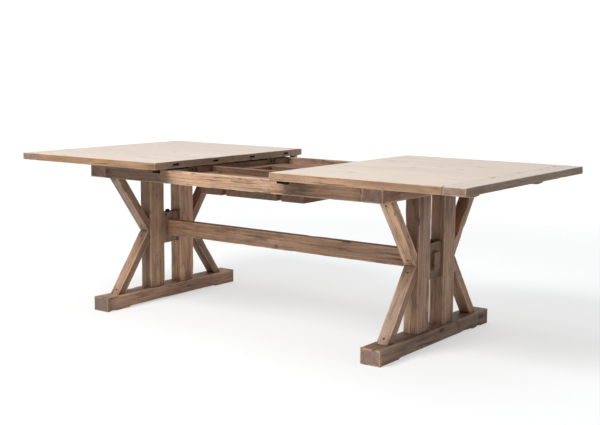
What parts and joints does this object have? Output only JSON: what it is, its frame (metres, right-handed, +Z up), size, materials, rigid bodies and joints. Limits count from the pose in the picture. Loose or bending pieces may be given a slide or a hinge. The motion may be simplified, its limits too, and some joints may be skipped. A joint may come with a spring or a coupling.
{
  "type": "extendable dining table",
  "caption": "Trestle dining table in reclaimed pine with two sliding top halves, K-braced posts, long stretcher and room for a leaf.",
  "frame": {"origin": "on the floor, under the middle of the table", "axes": "+X along the table to the right, +Y across it away from the viewer, +Z up"},
  "size_m": [2.476, 1.116, 0.762],
  "materials": {
    "weathered_pine_top": "sun-bleached, washed pale, matt",
    "weathered_pine_frame": "aged brown, matt, worn edges",
    "inner_pine": "plain sawn, unwashed",
    "black_steel": "black oxide, satin",
    "zinc_screw": "dull zinc",
    "black_nylon": "moulded, matt",
    "white_nylon": "slick tape",
    "rubber": "matt"
  },
  "bodies": {
    "base": {"back_rail": "weathered_pine_frame", "back_slide_board": "inner_pine", "brace_screws": "black_steel", "cross_planks": "inner_pine", "front_rail": "weathered_pine_frame", "front_slide_board": "inner_pine", "leaf_support_rail": "inner_pine", "left_back_post": "weathered_pine_frame", "left_block": "weathered_pine_frame", "left_cross_rail": "inner_pine", "left_end_rail": "weathered_pine_frame", "left_foot": "weathered_pine_frame", "left_front_post": "weathered_pine_frame", "left_lower_back_brace": "weathered_pine_frame", "left_lower_front_brace": "weathered_pine_frame", "left_upper_back_brace": "weathered_pine_frame", "left_upper_front_brace": "weathered_pine_frame", "middle_tray_board": "inner_pine", "post_lag_screws": "zinc_screw", "rail_dowels": "inner_pine", "right_back_post": "weathered_pine_frame", "right_block": "weathered_pine_frame", "right_cross_rail": "inner_pine", "right_end_rail": "weathered_pine_frame", "right_foot": "weathered_pine_frame", "right_front_post": "weathered_pine_frame", "right_lower_back_brace": "weathered_pine_frame", "right_lower_front_brace": "weathered_pine_frame", "right_upper_back_brace": "weathered_pine_frame", "right_upper_front_brace": "weathered_pine_frame", "runner_guides": "inner_pine", "side_tray_boards": "inner_pine", "stretcher": "weathered_pine_frame", "stretcher_bolts": "black_steel", "stretcher_washers": "black_steel", "tray_rails": "inner_pine", "tray_screws": "zinc_screw"},
    "left_top": {"left_top_planks": "weathered_pine_top", "left_breadboard_end": "weathered_pine_top", "left_front_runner": "inner_pine", "left_back_runner": "inner_pine", "left_glide_strips": "white_nylon", "left_runner_bumpers": "rubber", "left_runner_screws": "zinc_screw", "left_stop_block": "inner_pine", "alignment_sockets": "black_nylon", "latch_keepers": "black_steel"},
    "right_top": {"right_top_planks": "weathered_pine_top", "right_breadboard_end": "weathered_pine_top", "right_front_runner": "inner_pine", "right_back_runner": "inner_pine", "right_glide_strips": "white_nylon", "right_runner_bumpers": "rubber", "right_runner_screws": "zinc_screw", "right_stop_block": "inner_pine", "alignment_keys": "black_nylon", "latch_plates": "black_steel", "latch_pivots": "black_steel"},
    "front_latch": {"front_latch_hook": "black_steel"},
    "back_latch": {"back_latch_hook": "black_steel"}
  },
  "joints": [
    {"name": "left_top_slide", "type": "slide", "parent": "base", "child": "left_top", "axis": [1, 0, 0], "range_m": [0, 0.3255]},
    {"name": "right_top_slide", "type": "slide", "parent": "base", "child": "right_top", "axis": [-1, 0, 0], "range_m": [0, 0.3255]},
    {"name": "front_latch_turn", "type": "hinge", "parent": "right_top", "child": "front_latch", "pos_m": [0.393, -0.52, 0.727], "axis": [0, 0, -1], "range_deg": [0, 30]},
    {"name": "back_latch_turn", "type": "hinge", "parent": "right_top", "child": "back_latch", "pos_m": [0.393, 0.52, 0.727], "axis": [0, 0, 1], "range_deg": [0, 30]}
  ]
}
